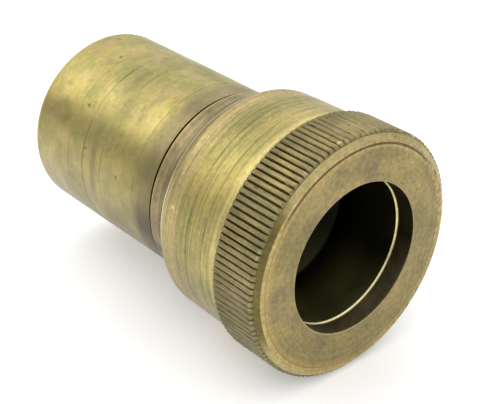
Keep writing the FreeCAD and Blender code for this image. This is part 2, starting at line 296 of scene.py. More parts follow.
def knurl_tree():
    """Ridges round X: one rounded bar, flattened at its ends, copied round the ring and nicked at random."""
    tree, given = node_group("knurl_ridges", ("Count",), (
        "Root", "Height", "Width", "Start", "Length", "Runout", "Nick", "Seed"))
    bar_size = node(tree, "ShaderNodeCombineXYZ", {0: given["Length"], 1: given["Width"], 2: given["Height"]})
    bar = node(tree, "GeometryNodeMeshCube", {
        "Size": bar_size.outputs[0], "Vertices X": 28, "Vertices Y": 13, "Vertices Z": 2})
    place_now = node(tree, "GeometryNodeInputPosition")
    axes = node(tree, "ShaderNodeSeparateXYZ", {0: place_now.outputs[0]})
    half = node(tree, "ShaderNodeMath", {0: given["Width"], 1: 0.5}, operation="MULTIPLY")
    across = node(tree, "ShaderNodeMath", {0: axes.outputs[1], 1: half.outputs[0]}, operation="DIVIDE")
    side = node(tree, "ShaderNodeMath", {0: across.outputs[0]}, operation="ABSOLUTE")
    crown = node(tree, "ShaderNodeMapRange", {
        "Value": side.outputs[0], "From Min": 0.60, "From Max": 1.0, "To Min": 1.0, "To Max": 0.0},
        interpolation_type="SMOOTHSTEP")
    half_long = node(tree, "ShaderNodeMath", {0: given["Length"], 1: 0.5}, operation="MULTIPLY")
    from_front = node(tree, "ShaderNodeMath", {
        0: half_long.outputs[0], 1: axes.outputs[0]}, operation="SUBTRACT")
    from_rear = node(tree, "ShaderNodeMath", {0: half_long.outputs[0], 1: axes.outputs[0]}, operation="ADD")
    front = node(tree, "ShaderNodeMapRange", {
        "Value": from_front.outputs[0], "From Max": given["Runout"], "To Min": 0.0, "To Max": 1.0},
        interpolation_type="SMOOTHSTEP")
    rear_run = node(tree, "ShaderNodeMath", {0: given["Runout"], 1: 0.35}, operation="MULTIPLY")
    rear = node(tree, "ShaderNodeMapRange", {
        "Value": from_rear.outputs[0], "From Max": rear_run.outputs[0], "To Min": 0.35, "To Max": 1.0})
    ends = node(tree, "ShaderNodeMath", {0: front.outputs[0], 1: rear.outputs[0]}, operation="MULTIPLY")
    rise = node(tree, "ShaderNodeMath", {0: crown.outputs[0], 1: ends.outputs[0]}, operation="MULTIPLY")
    tall = node(tree, "ShaderNodeMath", {0: rise.outputs[0], 1: given["Height"]}, operation="MULTIPLY")
    top = node(tree, "FunctionNodeCompare", {0: axes.outputs[2], 1: 0.0},
               data_type="FLOAT", operation="GREATER_THAN")
    foot = node(tree, "ShaderNodeMath", {0: given["Height"], 1: -0.4}, operation="MULTIPLY")
    lift = node(tree, "GeometryNodeSwitch", {0: top.outputs[0], 1: foot.outputs[0], 2: tall.outputs[0]},
                input_type="FLOAT")
    radius = node(tree, "ShaderNodeMath", {0: given["Root"], 1: lift.outputs[0]}, operation="ADD")
    middle = node(tree, "ShaderNodeMath", {0: given["Start"], 1: half_long.outputs[0]}, operation="ADD")
    along = node(tree, "ShaderNodeMath", {0: axes.outputs[0], 1: middle.outputs[0]}, operation="ADD")
    shaped = node(tree, "ShaderNodeCombineXYZ", {
        0: along.outputs[0], 1: axes.outputs[1], 2: radius.outputs[0]})
    ridge = node(tree, "GeometryNodeSetPosition", {"Geometry": bar.outputs[0], "Position": shaped.outputs[0]})
    copies = copied_round(tree, ridge.outputs[0], given["Count"], (0.0, 0.0, 0.0))
    real = node(tree, "GeometryNodeRealizeInstances", {"Geometry": copies})
    where = node(tree, "GeometryNodeInputPosition")
    rough = node(tree, "ShaderNodeTexNoise", {
        "Vector": where.outputs[0], "W": given["Seed"], "Scale": 900.0, "Detail": 3.0}, noise_dimensions="4D")
    hit = node(tree, "ShaderNodeMapRange", {
        "Value": rough.outputs[0], "From Min": 0.56, "From Max": 0.72, "To Min": 0.0, "To Max": 1.0})
    radial = node(tree, "ShaderNodeVectorMath", {
        0: where.outputs[0], 1: (0.0, 1.0, 1.0)}, operation="MULTIPLY")
    outward = node(tree, "ShaderNodeVectorMath", {0: radial.outputs[0]}, operation="NORMALIZE")
    deep = node(tree, "ShaderNodeMath", {0: hit.outputs[0], 1: given["Nick"]}, operation="MULTIPLY")
    inward = node(tree, "ShaderNodeMath", {0: deep.outputs[0], 1: -1.0}, operation="MULTIPLY")
    push = node(tree, "ShaderNodeVectorMath", {
        0: outward.outputs[0], "Scale": inward.outputs[0]}, operation="SCALE")
    nicked = node(tree, "GeometryNodeSetPosition", {
        "Geometry": real.outputs[0], "Offset": push.outputs["Vector"]})
    output(tree, nicked.outputs[0], given["Material"])
    return tree


def thread_tree():
    """Helical ridges about X, side by side when there are several starts."""
    tree, given = node_group("thread_starts", ("Starts",), (
        "Radius", "Height", "Inner Width", "Outer Width", "Lead", "Start", "Length"))
    turns = node(tree, "ShaderNodeMath", {0: given["Length"], 1: given["Lead"]}, operation="DIVIDE")
    helix = node(tree, "GeometryNodeCurveSpiral", {
        "Resolution": 96, "Rotations": turns.outputs[0], "Start Radius": given["Radius"],
        "End Radius": given["Radius"], "Height": given["Length"], "Reverse": False})
    upright = node(tree, "GeometryNodeSetCurveNormal", {"Curve": helix.outputs[0]}, mode="Z_UP")
    section = node(tree, "GeometryNodeCurvePrimitiveQuadrilateral", {
        "Height": given["Height"], "Bottom Width": given["Inner Width"], "Top Width": given["Outer Width"],
        "Offset": 0.0},
        mode="TRAPEZOID")
    stand = node(tree, "GeometryNodeTransform", {
        "Geometry": section.outputs[0], "Rotation": (0, 0, math.pi / 2)})
    ridge = node(tree, "GeometryNodeCurveToMesh", {
        "Curve": upright.outputs[0], "Profile Curve": stand.outputs[0], "Fill Caps": True})
    lay = node(tree, "GeometryNodeTransform", {"Geometry": ridge.outputs[0], "Rotation": (0, math.pi / 2, 0)})
    shift = node(tree, "ShaderNodeCombineXYZ", {0: given["Start"]})
    output(tree, copied_round(tree, lay.outputs[0], given["Starts"], shift.outputs[0]), given["Material"])
    return tree


def strainer_tree(rows):
    """Thin disc across X with rings of punched holes round a middle one."""
    tree, given = node_group("strainer_holes", (), ("Radius", "Thickness", "Pitch", "Hole", "Start"))
    disc = node(tree, "GeometryNodeMeshCylinder", {
        "Vertices": 128, "Radius": given["Radius"], "Depth": given["Thickness"]})
    centre = node(tree, "GeometryNodePoints", {"Count": 1})
    rings = node(tree, "GeometryNodeJoinGeometry", {})
    tree.links.new(centre.outputs[0], rings.inputs[0])
    for row in range(1, rows + 1):
        reach = node(tree, "ShaderNodeMath", {0: given["Pitch"], 1: float(row)}, operation="MULTIPLY")
        circle = node(tree, "GeometryNodeMeshCircle", {"Vertices": 6 * row, "Radius": reach.outputs[0]})
        points = node(tree, "GeometryNodeMeshToPoints", {"Mesh": circle.outputs[0]})
        tree.links.new(points.outputs[0], rings.inputs[0])
    deep = node(tree, "ShaderNodeMath", {0: given["Thickness"], 1: 4.0}, operation="MULTIPLY")
    punch = node(tree, "GeometryNodeMeshCylinder", {
        "Vertices": 20, "Radius": given["Hole"], "Depth": deep.outputs[0]})
    punches = node(tree, "GeometryNodeInstanceOnPoints", {
        "Points": rings.outputs[0], "Instance": punch.outputs[0]})
    tools = node(tree, "GeometryNodeRealizeInstances", {"Geometry": punches.outputs[0]})
    cut = node(tree, "GeometryNodeMeshBoolean", {"Mesh 1": disc.outputs[0], "Mesh 2": tools.outputs[0]},
               operation="DIFFERENCE", solver="EXACT")
    shift = node(tree, "ShaderNodeCombineXYZ", {0: given["Start"]})
    upright = node(tree, "GeometryNodeTransform", {
        "Geometry": cut.outputs[0], "Rotation": (0, math.pi / 2, 0), "Translation": shift.outputs[0]})
    output(tree, upright.outputs[0], given["Material"])
    return tree


# Materials

def linear(code):
    """sRGB hex colour as a linear RGBA."""
    parts = [int(code[k:k + 2], 16) / 255 for k in (1, 3, 5)]
    return [c / 12.92 if c <= 0.04045 else ((c + 0.055) / 1.055) ** 2.4 for c in parts] + [1.0]


def material_named(name):
    """New material with only an output and a Principled shader linked to it."""
    material = bpy.data.materials.new(name)
    material.use_nodes = True
    tree = material.node_tree
    tree.nodes.clear()
    shader = node(tree, "ShaderNodeBsdfPrincipled")
    node(tree, "ShaderNodeOutputMaterial", {"Surface": shader.outputs[0]})
    return material, tree, shader


def lathe_space(tree):
    """Object coordinates as (across the tool marks, y, z), with x and the radius on their own.

    Along a bore or barrel the tool marks step with x, and across a face they step with the radius, so
    x less the radius steps across them everywhere.
    """
    place_now = node(tree, "ShaderNodeTexCoord")
    axes = node(tree, "ShaderNodeSeparateXYZ", {0: place_now.outputs["Object"]})
    flat = node(tree, "ShaderNodeCombineXYZ", {1: axes.outputs[1], 2: axes.outputs[2]})
    radius = node(tree, "ShaderNodeVectorMath", {0: flat.outputs[0]}, operation="LENGTH")
    across = node(tree, "ShaderNodeMath", {
        0: axes.outputs[0], 1: radius.outputs["Value"]}, operation="SUBTRACT")
    lathe = node(tree, "ShaderNodeCombineXYZ", {0: across.outputs[0], 1: axes.outputs[1], 2: axes.outputs[2]})
    return place_now.outputs["Object"], lathe.outputs[0], axes.outputs[0], radius.outputs["Value"]


def cloud(tree, space, size_mm, stretch_mm, detail, low, high, seed):
    """Noise from 0 to 1 with patches of a real size: size_mm across the tool marks, stretch_mm along them."""
    across, along = 1 / (size_mm * MM), 1 / (stretch_mm * MM)
    scaled = node(tree, "ShaderNodeVectorMath", {0: space, 1: (across, along, along)}, operation="MULTIPLY")
    pattern = node(tree, "ShaderNodeTexNoise", {
        "Vector": scaled.outputs[0], "W": seed, "Scale": 1.0, "Detail": detail, "Roughness": 0.6},
        noise_dimensions="4D")
    sharpened = node(tree, "ShaderNodeMapRange", {
        "Value": pattern.outputs[0], "From Min": low, "From Max": high})
    return sharpened.outputs[0]


def band(tree, value, middle_mm, half_mm, soft_mm):
    """1 within half_mm of a place along the value, falling to 0 over soft_mm."""
    away = node(tree, "ShaderNodeMath", {0: value, 1: middle_mm * MM}, operation="SUBTRACT")
    far = node(tree, "ShaderNodeMath", {0: away.outputs[0]}, operation="ABSOLUTE")
    near = node(tree, "ShaderNodeMapRange", {
        "Value": far.outputs[0], "From Min": half_mm * MM, "From Max": (half_mm + soft_mm) * MM,
        "To Min": 1.0, "To Max": 0.0}, interpolation_type="SMOOTHSTEP")
    return near.outputs[0]


def overlap(tree, place_now, *others):
    """How far a point lies in all of several places at once, from 0 to 1."""
    for other in others:
        place_now = node(tree, "ShaderNodeMath", {0: place_now, 1: other}, operation="MULTIPLY").outputs[0]
    return place_now


def mark(tree, base, code, amount, *places):
    """Colour laid by an amount where all the given places overlap, or everywhere without places."""
    share = overlap(tree, *places, amount)
    return node(tree, "ShaderNodeMix", {0: share, 6: base, 7: linear(code)}, data_type="RGBA").outputs[2]


def aged_brass(name, finish, marks):
    """Unlacquered turned brass, handled and tarnished.

    Gold shows where hands have rubbed it, olive and tan where it has dulled, and plum where thick tarnish has
    grown.
    The underside is painted beige and a little darker, as painted light from the floor below and painted
    shade.
    Fine lines run round the piece from the lathe, or along it where it was rolled. marks(tree, fields, base)
    adds a piece's own bands and stains, and its painted highlights and shade.
    """
    shades = bpy.context.scene.nozzle_colours
    material, tree, shader = material_named(name)
    plain, lathe, x, radius = lathe_space(tree)
    _, sideways, height = node(tree, "ShaderNodeSeparateXYZ", {0: plain}).outputs
    seed = finish["seed"]

    # Clouds of tarnish, 0.8 to 13 mm across.
    patches = cloud(tree, lathe, 8.0, 13.0, 5.0, 0.38, 0.64, seed)
    tan_spots = cloud(tree, plain, 3.6, 3.6, 5.0, 0.48, 0.68, seed + 1)
    green_spots = cloud(tree, plain, 2.8, 2.8, 5.0, 0.50, 0.66, seed + 2)
    stain = cloud(tree, plain, 7.0, 7.0, 6.0, 0.50, 0.72, seed + 3)
    mottle = cloud(tree, plain, 0.8, 0.8, 4.0, 0.30, 0.70, seed + 4)
    streak = cloud(tree, lathe, 25.0, 8.0, 3.0, 0.40, 0.62, seed + 5)

    # Tool marks. Real ones are about 0.05 mm apart: those only break up the shine, and the ones that
    # show as lines are drawn 0.15 mm apart or more.
    if finish["grain"] == "around":
        lines = cloud(tree, lathe, 0.15, 17.0, 4.0, 0.30, 0.70, seed + 6)
        broad_lines = cloud(tree, lathe, 0.85, 26.0, 4.0, 0.36, 0.64, seed + 7)
        cuts = cloud(tree, lathe, 0.22, 10.0, 3.0, 0.62, 0.70, seed + 8)
        fine_lines = cloud(tree, lathe, 0.06, 6.0, 3.0, 0.25, 0.75, seed + 9)
    else:
        lines = cloud(tree, plain, 5.0, 0.16, 4.0, 0.32, 0.68, seed + 6)
        broad_lines = cloud(tree, plain, 8.0, 0.6, 3.0, 0.36, 0.64, seed + 7)
        cuts = cloud(tree, plain, 2.0, 0.2, 3.0, 0.62, 0.70, seed + 8)
        fine_lines = cloud(tree, plain, 1.0, 0.05, 3.0, 0.25, 0.75, seed + 9)

    # Tarnish colours, the underside's painted light and shade, then the piece's own marks.
    # below: 1 on the underside, where the painted light from the floor and the painted shade go.
    below = node(tree, "ShaderNodeMapRange", {
        "Value": height, "From Min": 10 * MM, "From Max": -9 * MM},
        interpolation_type="SMOOTHSTEP").outputs[0]
    base = mark(tree, linear(shades.olive), shades.gold, 1.0, patches)
    base = mark(tree, base, shades.tan, finish["mottle"], tan_spots)
    base = mark(tree, base, shades.green, finish["mottle"], green_spots)
    # Painted light: the underside tinted beige, as if lit from the white floor.
    base = mark(tree, base, shades.beige, min(1.0, 2.5 * finish["painted_underside"]), below)
    base = mark(tree, base, shades.plum, finish["plum"], stain)
    base = marks(tree, {"x": x, "y": sideways, "z": height, "r": radius, "streak": streak,
                        "mottle": mottle, "stain": stain, "spots": tan_spots}, base)

    # Pits and bright nicks: one ragged spot in some cells of a 3.4 mm grid.
    cell = node(tree, "ShaderNodeTexVoronoi", {"Vector": plain, "Scale": 1 / (3.4 * MM), "Randomness": 1.0})
    pick = node(tree, "ShaderNodeSeparateColor", {0: cell.outputs["Color"]})
    ragged = node(tree, "ShaderNodeMath", {0: mottle, 1: 0.06, 2: cell.outputs["Distance"]},
                  operation="MULTIPLY_ADD")
    spot = node(tree, "ShaderNodeMapRange", {
        "Value": ragged.outputs[0], "From Min": 0.09, "From Max": 0.19, "To Min": 1.0, "To Max": 0.0})
    pitted = node(tree, "ShaderNodeMath", {0: pick.outputs[0], 1: 1 - finish["spots"]},
                  operation="GREATER_THAN")
    nicked = node(tree, "ShaderNodeMath", {0: pick.outputs[1], 1: 1 - finish["nicks"]},
                  operation="GREATER_THAN")
    pits = overlap(tree, spot.outputs[0], pitted.outputs[0], 0.62)
    nicks = overlap(tree, spot.outputs[0], nicked.outputs[0])
    dirt = node(tree, "ShaderNodeMath", {0: overlap(tree, cuts, 0.5 * finish["lines"]), 1: pits},
                operation="MAXIMUM").outputs[0]
    base = mark(tree, base, shades.grime_and_seam_shade, 1.0, dirt)
    base = mark(tree, base, "#EBDCA4", 0.75, nicks)

    # Lightness of the tool marks, the grit, and the underside, which is painted darker as shade.
    shade = node(tree, "ShaderNodeMapRange", {
        "Value": lines, "To Min": 1.0 - 0.34 * finish["lines"], "To Max": 1.0 + 0.26 * finish["lines"]})
    wide = node(tree, "ShaderNodeMapRange", {
        "Value": broad_lines, "To Min": 1.0 - 0.10 * finish["lines"], "To Max": 1.0 + 0.07 * finish["lines"]})
    grain = node(tree, "ShaderNodeMapRange", {
        "Value": mottle, "To Min": 1.0 - finish["grit"], "To Max": 1.0 + 0.8 * finish["grit"]})
    # dull: painted shade that darkens the underside.
    dull = node(tree, "ShaderNodeMapRange", {
        "Value": below, "To Min": finish["tone"], "To Max": finish["tone"] * (1 - finish["painted_underside"])})
    tone = shade.outputs[0]
    for factor in (wide, grain, dull):
        tone = node(tree, "ShaderNodeMath", {0: tone, 1: factor.outputs[0]}, operation="MULTIPLY").outputs[0]
    toned = node(tree, "ShaderNodeHueSaturation", {"Value": tone, "Color": base})
    tree.links.new(toned.outputs[0], shader.inputs["Base Color"])

    # Shine: rubbed patches are smoother, and thick tarnish is less of a metal.
    worn = node(tree, "ShaderNodeMapRange", {
        "Value": patches, "To Min": finish["rough"] + 0.08, "To Max": finish["rough"] - 0.05})
    streaked = node(tree, "ShaderNodeMapRange", {"Value": fine_lines, "To Min": -0.05, "To Max": 0.07})
    roughness = node(tree, "ShaderNodeMath", {0: worn.outputs[0], 1: streaked.outputs[0]}, operation="ADD")
    tree.links.new(roughness.outputs[0], shader.inputs["Roughness"])
    metal = node(tree, "ShaderNodeMapRange", {
        "Value": stain, "To Min": 0.97, "To Max": 0.97 - 0.35 * finish["plum"]})
    tree.links.new(metal.outputs[0], shader.inputs["Metallic"])

    # Relief: tool marks, pores and pits, a slow ripple, and the nicks.
    pores = cloud(tree, plain, 0.18, 0.18, 2.0, 0.45, 0.75, seed + 11)
    tool_marks = node(tree, "ShaderNodeMath", {
        0: overlap(tree, lines, 0.6), 1: overlap(tree, broad_lines, 0.5)}, operation="ADD")
    tool_marks = node(tree, "ShaderNodeMath", {0: pores, 1: -0.35, 2: tool_marks.outputs[0]},
                      operation="MULTIPLY_ADD")
    relief = node(tree, "ShaderNodeMath", {0: tool_marks.outputs[0], 1: dirt}, operation="SUBTRACT")
    bump = node(tree, "ShaderNodeBump", {
        "Strength": 0.05 + 0.55 * finish["lines"], "Distance": 0.05 * MM, "Height": relief.outputs[0]})
    ripple = node(tree, "ShaderNodeBump", {
        "Strength": finish["ripple"], "Distance": 0.12 * MM,
        "Height": cloud(tree, plain, 3.0, 3.0, 4.0, 0.0, 1.0, seed + 10),
        "Normal": bump.outputs[0]})
    dents = node(tree, "ShaderNodeBump", {
        "Strength": 0.5, "Distance": 0.10 * MM, "Height": nicks, "Normal": ripple.outputs[0]}, invert=True)
    tree.links.new(dents.outputs[0], shader.inputs["Normal"])
    return material


def plain_finish(name, code, metallic, rough, grain_mm, contrast, bump_mm):
    """Even finish of an inner piece: a grain of a real size in colour, roughness and relief."""
    material, tree, shader = material_named(name)
    plain, lathe, _, _ = lathe_space(tree)
    grain = cloud(tree, lathe if metallic else plain, grain_mm, 8 * grain_mm if metallic else grain_mm,
                  4.0, 0.25, 0.75, 3.0)
    shade = node(tree, "ShaderNodeMapRange", {"Value": grain, "To Min": 1 - contrast, "To Max": 1 + contrast})
    toned = node(tree, "ShaderNodeHueSaturation", {"Value": shade.outputs[0], "Color": linear(code)})
    tree.links.new(toned.outputs[0], shader.inputs["Base Color"])
    rubbed = node(tree, "ShaderNodeMapRange", {
        "Value": grain, "To Min": rough - 0.06, "To Max": rough + 0.08})
    tree.links.new(rubbed.outputs[0], shader.inputs["Roughness"])
    shader.inputs["Metallic"].default_value = metallic
    bump = node(tree, "ShaderNodeBump", {"Strength": 0.5, "Distance": bump_mm * MM, "Height": grain})
    tree.links.new(bump.outputs[0], shader.inputs["Normal"])
    return material


# Dark rings scratched round the barrel: share of its length, half width in mm, strength.
BARREL_RINGS = ((0.43, 0.10, 0.50), (0.58, 0.05, 0.35), (0.855, 0.06, 0.45), (0.30, 0.04, 0.30))

# Dark rings scratched round the head: mm behind the knurled ring, half width in mm, strength.
HEAD_RINGS = ((4.4, 0.10, 0.45), (8.5, 0.10, 0.45), (7.2, 0.05, 0.30), (11.0, 0.07, 0.30))


def barrel_brass():
    """Turned brass tube, golden where it is gripped, clouded with tarnish that thickens beside the seam, with
    painted shade at its bottom beside the seam, on its front edge in the seam and on a patch of its upper -Y
    side.
    """
    shades = bpy.context.scene.nozzle_colours
    end = span("inlet_barrel")[1]

    def marks(tree, at, base):
        base = mark(tree, base, shades.plum, 0.66, band(tree, at["x"], end - 1.2, 1.3, 3.4))
        low = band(tree, at["z"], -span("inlet_barrel")[2], 14.0, 10.0)
        # Painted shade: a darker olive patch on the upper -Y side tones down the highlight there.
        base = mark(tree, base, "#7C7140", 0.55, band(tree, at["z"], 6.5, 2.6, 3.4),
                    band(tree, at["y"], -span("inlet_barrel")[2], 5.0, 4.0), at["mottle"])
        # Painted shade: darker towards the bottom beside the seam.
        base = mark(tree, base, "#544B36", 0.75, band(tree, at["x"], end - 1.4, 2.0, 3.4), low)
        base = mark(tree, base, shades.plum, 0.50, band(tree, at["x"], 0.52 * end, 0.30, 0.9), at["streak"])
        for share, width, amount in BARREL_RINGS:
            base = mark(tree, base, shades.grime_and_seam_shade, amount,
                        band(tree, at["x"], share * end, width, 0.22), at["streak"])
        base = mark(tree, base, shades.gold, 0.5, band(tree, at["x"], 0.2, 0.4, 0.4))
        # Painted shade: the front edge at the seam coloured nearly black, as the seam's shadow.
        return mark(tree, base, shades.grime_and_seam_shade, 0.98, band(tree, at["x"], end, 0.05, 0.06))

    return aged_brass("turned_brass_barrel", {
        "grain": "around", "plum": 0.40, "mottle": 0.70, "lines": 0.24, "rough": 0.38, "tone": 0.96,
        "grit": 0.12, "painted_underside": 0.24, "ripple": 0.8, "spots": 0.14, "nicks": 0.02, "seed": 11.0}, marks)


def head_brass():
    """Turned brass sleeve: strong lathe lines, a dull collar with painted shade at its bottom and at its rear
    edge and a painted highlight strip beside the seam, a painted highlight along the shoulder's rear edge,
    and a rubbed front band.
    """
    shades = bpy.context.scene.nozzle_colours
    start = span("head_sleeve")[0]
    ring_start = span("knurled_ring")[0]
    collar_end = start + bpy.context.scene.nozzle_sizes.collar_length / MM

    def marks(tree, at, base):
        base = mark(tree, base, shades.plum, 0.80, band(tree, at["x"], start + 3.1, 2.4, 0.5))
        low = band(tree, at["z"], -span("inlet_barrel")[2], 14.0, 10.0)
        # Painted shade: the collar darker towards the bottom.
        base = mark(tree, base, "#544B36", 0.80, band(tree, at["x"], start + 2.4, 2.8, 0.8), low)
        # Painted highlight: a tan strip on the collar beside the seam.
        base = mark(tree, base, shades.tan, 0.6, band(tree, at["x"], start + 1.0, 0.9, 1.2), at["streak"])
        base = mark(tree, base, shades.tan, 0.55, band(tree, at["x"], collar_end + 3.2, 1.6, 2.0))
        for back, width, amount in HEAD_RINGS:
            base = mark(tree, base, shades.grime_and_seam_shade, amount,
                        band(tree, at["x"], ring_start - back, width, 0.16), at["streak"])
        base = mark(tree, base, "#D8C583", 0.75, band(tree, at["x"], ring_start - 1.0, 0.7, 0.5))
        # Painted shade: the collar's rear edge at the seam coloured nearly black, as the seam's shadow.
        base = mark(tree, base, shades.grime_and_seam_shade, 0.95, band(tree, at["x"], start, 0.10, 0.12))
        # Painted highlight: a near-white line along the shoulder's rear edge.
        return mark(tree, base, "#F8EBC0", 0.85, band(tree, at["x"], collar_end + 0.10, 0.16, 0.12),
                    band(tree, at["r"], span("head_sleeve")[2] - 1.1, 1.0, 0.3))

    return aged_brass("turned_brass_head", {
        "grain": "around", "plum": 0.18, "mottle": 0.24, "lines": 1.1, "rough": 0.36, "tone": 0.93,
        "grit": 0.18, "painted_underside": 0.14, "ripple": 0.3, "spots": 0.06, "nicks": 0.10, "seed": 23.0}, marks)


def face_brass():
    """Faced brass, dull and stained, with a light bevel painted darker on its -Y side as shade, a knocked and
    rubbed rim that is also painted bright on its -Y side as a highlight, and a bore wall painted almost black
    as shade, lighter at the bottom as painted light, with a painted highlight along its edge.
    """
    shades = bpy.context.scene.nozzle_colours
    front = span("knurled_ring")[1]
    radius = span("knurled_ring")[2]
    start = span("knurled_ring")[0]
    end_of_knurl = front - bpy.context.scene.nozzle_sizes.bevel_length / MM
    bore = bpy.context.scene.nozzle_sizes.face_bore / MM

    def marks(tree, at, base):
        upper = band(tree, at["z"], radius - 2.0, 5.5, 5.0)
        base = mark(tree, base, "#A48E76", 0.30)
        base = mark(tree, base, shades.plum, 0.55, upper, at["stain"])
        # rubbed: the rim's -Y side, partly rubbed bright by wear and partly painted highlight where the
        # rounded rim reflects the light.
        rubbed = band(tree, at["y"], -radius, 16.0, 10.0)
        base = mark(tree, base, shades.plum, 0.45, at["streak"], at["stain"])
        base = mark(tree, base, "#E2C988", 0.85, band(tree, at["r"], radius - 1.9, 0.45, 0.7), at["mottle"])
        base = mark(tree, base, "#D8BC78", 0.55, band(tree, at["r"], radius - 2.0, 0.6, 1.0), rubbed)
        # Painted highlight: near-white ragged spots on the rim's -Y side.
        base = mark(tree, base, "#FFEDB6", 1.0,
                    band(tree, at["r"], radius - 1.7, 0.22, 0.25), at["spots"], rubbed)
        base = mark(tree, base, "#574A2E", 0.75,
                    band(tree, at["r"], radius - 2.4, 0.05, 0.12), at["mottle"], rubbed)
        base = mark(tree, base, "#B98F66", 0.55,
                    band(tree, at["r"], radius - 2.2, 0.5, 0.9), at["spots"], at["mottle"])
        bevel = overlap(tree, band(tree, at["r"], radius - 0.95, 0.45, 0.20),
                        band(tree, at["x"], front - 0.42, 0.40, 0.05))
        base = mark(tree, base, "#DCCB90", 0.80, bevel)
        # Painted shade: the bevel darker on its -Y side, where it reflects darker surroundings.
        base = mark(tree, base, "#6A5D2C", 0.85, bevel, band(tree, at["y"], -radius, 4.5, 5.0),
                    band(tree, at["z"], 4.0, 9.0, 9.0))
        base = mark(tree, base, shades.grime_and_seam_shade, 0.66,
                    band(tree, at["x"], start, end_of_knurl - start - 0.75, 0.35),
                    band(tree, at["r"], radius - 1.0, 0.8, 0.05))
        base = mark(tree, base, "#6B5A49", 0.85, band(tree, at["r"], radius - 2.1, 0.12, 0.20), upper)
        # Painted shade: the bore wall coloured almost black.
        base = mark(tree, base, "#4C4530", 0.93, band(tree, at["r"], bore, 0.10, 0.05))
        # Painted light: the bore wall lighter towards the bottom.
        base = mark(tree, base, "#B5A67A", 0.85, band(tree, at["r"], bore, 0.10, 0.05),
                    band(tree, at["z"], -radius, 13.0, 9.0))
        # Painted highlight: a pale line along the bore's edge.
        return mark(tree, base, "#D6C5A0", 0.60, band(tree, at["r"], bore + 0.16, 0.05, 0.05))

    return aged_brass("faced_brass_ring", {
        "grain": "around", "plum": 0.60, "mottle": 0.50, "lines": 0.42, "rough": 0.46, "tone": 0.75,
        "grit": 0.26, "painted_underside": 0.02, "ripple": 0.5, "spots": 0.06, "nicks": 0.03, "seed": 37.0}, marks)


def knurl_brass():
    """Rolled brass knurl: grey-brown ridges rubbed along their length, valleys packed with dirt, and painted
    highlights on some ridge ends.
    """
    shades = bpy.context.scene.nozzle_colours
    root = bpy.context.scene.nozzle_sizes.ridge_root / MM
    start = span("knurled_ring")[0]
    end = span("knurled_ring")[1] - bpy.context.scene.nozzle_sizes.bevel_length / MM

    def marks(tree, at, base):
        base = mark(tree, base, shades.plum, 0.55)
        base = mark(tree, base, shades.grime_and_seam_shade, 0.45, band(tree, at["x"], start, 1.8, 4.5), at["mottle"])
        # Painted highlight: bright spots on the front ends of some ridges.
        base = mark(tree, base, "#E0D29C", 0.85, band(tree, at["x"], end - 0.32, 0.10, 0.20),
                    band(tree, at["r"], root + 0.6, 0.24, 0.12), at["mottle"], at["spots"])
        return mark(tree, base, shades.grime_and_seam_shade, 0.60, band(tree, at["r"], root - 0.1, 0.16, 0.20),
                    band(tree, at["x"], start, end - start - 0.75, 0.35))

    return aged_brass("rolled_brass_knurl", {
        "grain": "along", "plum": 0.4, "mottle": 0.35, "lines": 1.25, "rough": 0.44, "tone": 1.02,
        "grit": 0.15, "painted_underside": 0.15, "ripple": 0.2, "spots": 0.05, "nicks": 0.10, "seed": 51.0}, marks)


def bore_brass():
    """Bored brass painted almost black inside as shade and darker still deeper in, with painted light along
    the bottom and a clean lip painted near-white as a highlight at the outlet end.
    """
    shades = bpy.context.scene.nozzle_colours
    lip = span("flow_tube")[1]

    def marks(tree, at, base):
        # Painted shade: the inside coloured almost black.
        base = mark(tree, base, shades.bore, 0.985, band(tree, at["x"], 0.0, lip - 0.50, 0.05))
        # Painted light: the inside lighter along the bottom.
        low = band(tree, at["z"], -span("flow_tube")[2], 6.0, 8.0)
        base = mark(tree, base, "#A19C62", 0.85, low)
        # Painted shade: nearly black deeper in.
        base = mark(tree, base, "#12110C", 0.9, band(tree, at["x"], 0.0, lip - 14.0, 8.0))
        # The lip: clean brass painted near-white as a highlight, broken by darker spots, with more painted
        # highlight at the bottom.
        edge = band(tree, at["x"], lip - 0.30, 0.10, 0.04)
        base = mark(tree, base, "#FFF0BA", 0.95, edge)
        base = mark(tree, base, "#75683F", 0.85, edge, at["spots"], at["mottle"])
        return mark(tree, base, "#FFF2C2", 0.80, edge, low, at["mottle"])

    return aged_brass("brass_bore_painted_shade", {
        "grain": "around", "plum": 0.2, "mottle": 0.3, "lines": 0.3, "rough": 0.42, "tone": 1.0,
        "grit": 0.1, "painted_underside": 0.0, "ripple": 0.3, "spots": 0.05, "nicks": 0.02, "seed": 67.0}, marks)


# Pieces

